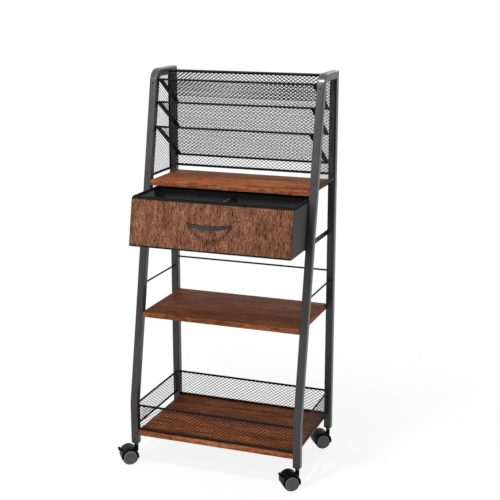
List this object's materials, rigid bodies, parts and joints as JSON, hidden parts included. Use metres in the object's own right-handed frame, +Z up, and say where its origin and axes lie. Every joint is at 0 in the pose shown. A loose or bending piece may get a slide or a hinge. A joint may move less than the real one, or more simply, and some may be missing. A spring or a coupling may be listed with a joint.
{
  "type": "hobby workstation organizer",
  "caption": "Rolling workstation organizer for hobby supplies: tube frame, sloping mesh tiers, tabletop with a drawer, shelf, mesh basket and casters.",
  "frame": {"origin": "on the floor below the centre of the bounding box, with the drawer open by 142 mm as it rests", "axes": "+X to the user's right, +Y to the rear, +Z up"},
  "size_m": [0.6538, 0.4344, 1.311],
  "materials": {
    "tube_paint": "satin black powder coat",
    "rod_paint": "satin black powder coat",
    "mesh_paint": "satin black powder coat",
    "runner_paint": "satin black powder coat",
    "board_wood": "printed rustic brown board, satin",
    "drawer_wood": "printed rustic brown board, satin",
    "drawer_fabric": "woven, over stiff board",
    "pull_metal": "satin black",
    "screw_steel": "blackened",
    "plug_plastic": "moulded black",
    "hood_plastic": "moulded black",
    "wheel_plastic": "moulded dark grey",
    "brake_plastic": "moulded black",
    "stem_chrome": "bright plated",
    "axle_steel": "plain steel"
  },
  "bodies": {
    "frame": {"left_leg": "tube_paint", "right_leg": "tube_paint", "left_post": "tube_paint", "right_post": "tube_paint", "leg_plugs": "plug_plastic", "frame_screws": "screw_steel", "front_left_caster_stem": "stem_chrome", "front_right_caster_stem": "stem_chrome", "rear_left_caster_stem": "stem_chrome", "rear_right_caster_stem": "stem_chrome", "tabletop": "board_wood", "middle_shelf": "board_wood", "bottom_shelf": "board_wood", "left_drawer_runner": "runner_paint", "right_drawer_runner": "runner_paint", "left_guard_rod": "rod_paint", "right_guard_rod": "rod_paint", "rear_guard_rod": "rod_paint", "basket_front_mesh": "mesh_paint", "basket_rear_mesh": "mesh_paint", "basket_left_mesh": "mesh_paint", "basket_right_mesh": "mesh_paint", "basket_rods": "rod_paint", "left_side_mesh": "mesh_paint", "right_side_mesh": "mesh_paint", "left_side_rods": "rod_paint", "right_side_rods": "rod_paint", "rear_mesh": "mesh_paint", "rear_top_rail": "rod_paint", "rear_middle_rail": "rod_paint", "rear_bottom_rail": "rod_paint", "pocket_rim": "rod_paint", "pocket_mesh": "mesh_paint", "tier_1_rail": "rod_paint", "tier_1_mesh": "mesh_paint", "tier_2_rail": "rod_paint", "tier_2_mesh": "mesh_paint", "tier_3_rail": "rod_paint", "tier_3_mesh": "mesh_paint"},
    "drawer": {"drawer_front": "drawer_wood", "drawer_box": "drawer_fabric", "drawer_divider": "drawer_fabric", "drawer_pull": "pull_metal", "pull_screws": "screw_steel"},
    "front_left_swivel": {"front_left_caster_hood": "hood_plastic"},
    "front_left_wheel_pair": {"front_left_caster_axle": "axle_steel", "front_left_caster_wheels": "wheel_plastic"},
    "front_left_brake": {"front_left_brake_lever": "brake_plastic"},
    "front_right_swivel": {"front_right_caster_hood": "hood_plastic"},
    "front_right_wheel_pair": {"front_right_caster_axle": "axle_steel", "front_right_caster_wheels": "wheel_plastic"},
    "front_right_brake": {"front_right_brake_lever": "brake_plastic"},
    "rear_left_swivel": {"rear_left_caster_hood": "hood_plastic"},
    "rear_left_wheel_pair": {"rear_left_caster_axle": "axle_steel", "rear_left_caster_wheels": "wheel_plastic"},
    "rear_right_swivel": {"rear_right_caster_hood": "hood_plastic"},
    "rear_right_wheel_pair": {"rear_right_caster_axle": "axle_steel", "rear_right_caster_wheels": "wheel_plastic"}
  },
  "joints": [
    {"name": "drawer_slide", "type": "slide", "parent": "frame", "child": "drawer", "axis": [0, -1, 0], "range_m": [-0.142, 0.03]},
    {"name": "front_left_swivel_turn", "type": "hinge", "parent": "frame", "child": "front_left_swivel", "pos_m": [-0.2675, -0.15703, 0.063], "axis": [0, 0, 1], "continuous": true},
    {"name": "front_left_wheels_roll", "type": "hinge", "parent": "front_left_swivel", "child": "front_left_wheel_pair", "pos_m": [-0.2875, -0.17203, 0.0265], "axis": [0.6, -0.8, 0], "continuous": true},
    {"name": "front_left_brake_press", "type": "hinge", "parent": "front_left_swivel", "child": "front_left_brake", "pos_m": [-0.3018, -0.18275, 0.04097], "axis": [0.6, -0.8, 0], "range_deg": [0, 15]},
    {"name": "front_right_swivel_turn", "type": "hinge", "parent": "frame", "child": "front_right_swivel", "pos_m": [0.3075, -0.15703, 0.063], "axis": [0, 0, 1], "continuous": true},
    {"name": "front_right_wheels_roll", "type": "hinge", "parent": "front_right_swivel", "child": "front_right_wheel_pair", "pos_m": [0.2875, -0.17203, 0.0265], "axis": [0.6, -0.8, 0], "continuous": true},
    {"name": "front_right_brake_press", "type": "hinge", "parent": "front_right_swivel", "child": "front_right_brake", "pos_m": [0.2732, -0.18275, 0.04097], "axis": [0.6, -0.8, 0], "range_deg": [0, 15]},
    {"name": "rear_left_swivel_turn", "type": "hinge", "parent": "frame", "child": "rear_left_swivel", "pos_m": [-0.2675, 0.19357, 0.063], "axis": [0, 0, 1], "continuous": true},
    {"name": "rear_left_wheels_roll", "type": "hinge", "parent": "rear_left_swivel", "child": "rear_left_wheel_pair", "pos_m": [-0.2875, 0.17857, 0.0265], "axis": [0.6, -0.8, 0], "continuous": true},
    {"name": "rear_right_swivel_turn", "type": "hinge", "parent": "frame", "child": "rear_right_swivel", "pos_m": [0.3075, 0.19357, 0.063], "axis": [0, 0, 1], "continuous": true},
    {"name": "rear_right_wheels_roll", "type": "hinge", "parent": "rear_right_swivel", "child": "rear_right_wheel_pair", "pos_m": [0.2875, 0.17857, 0.0265], "axis": [0.6, -0.8, 0], "continuous": true}
  ]
}
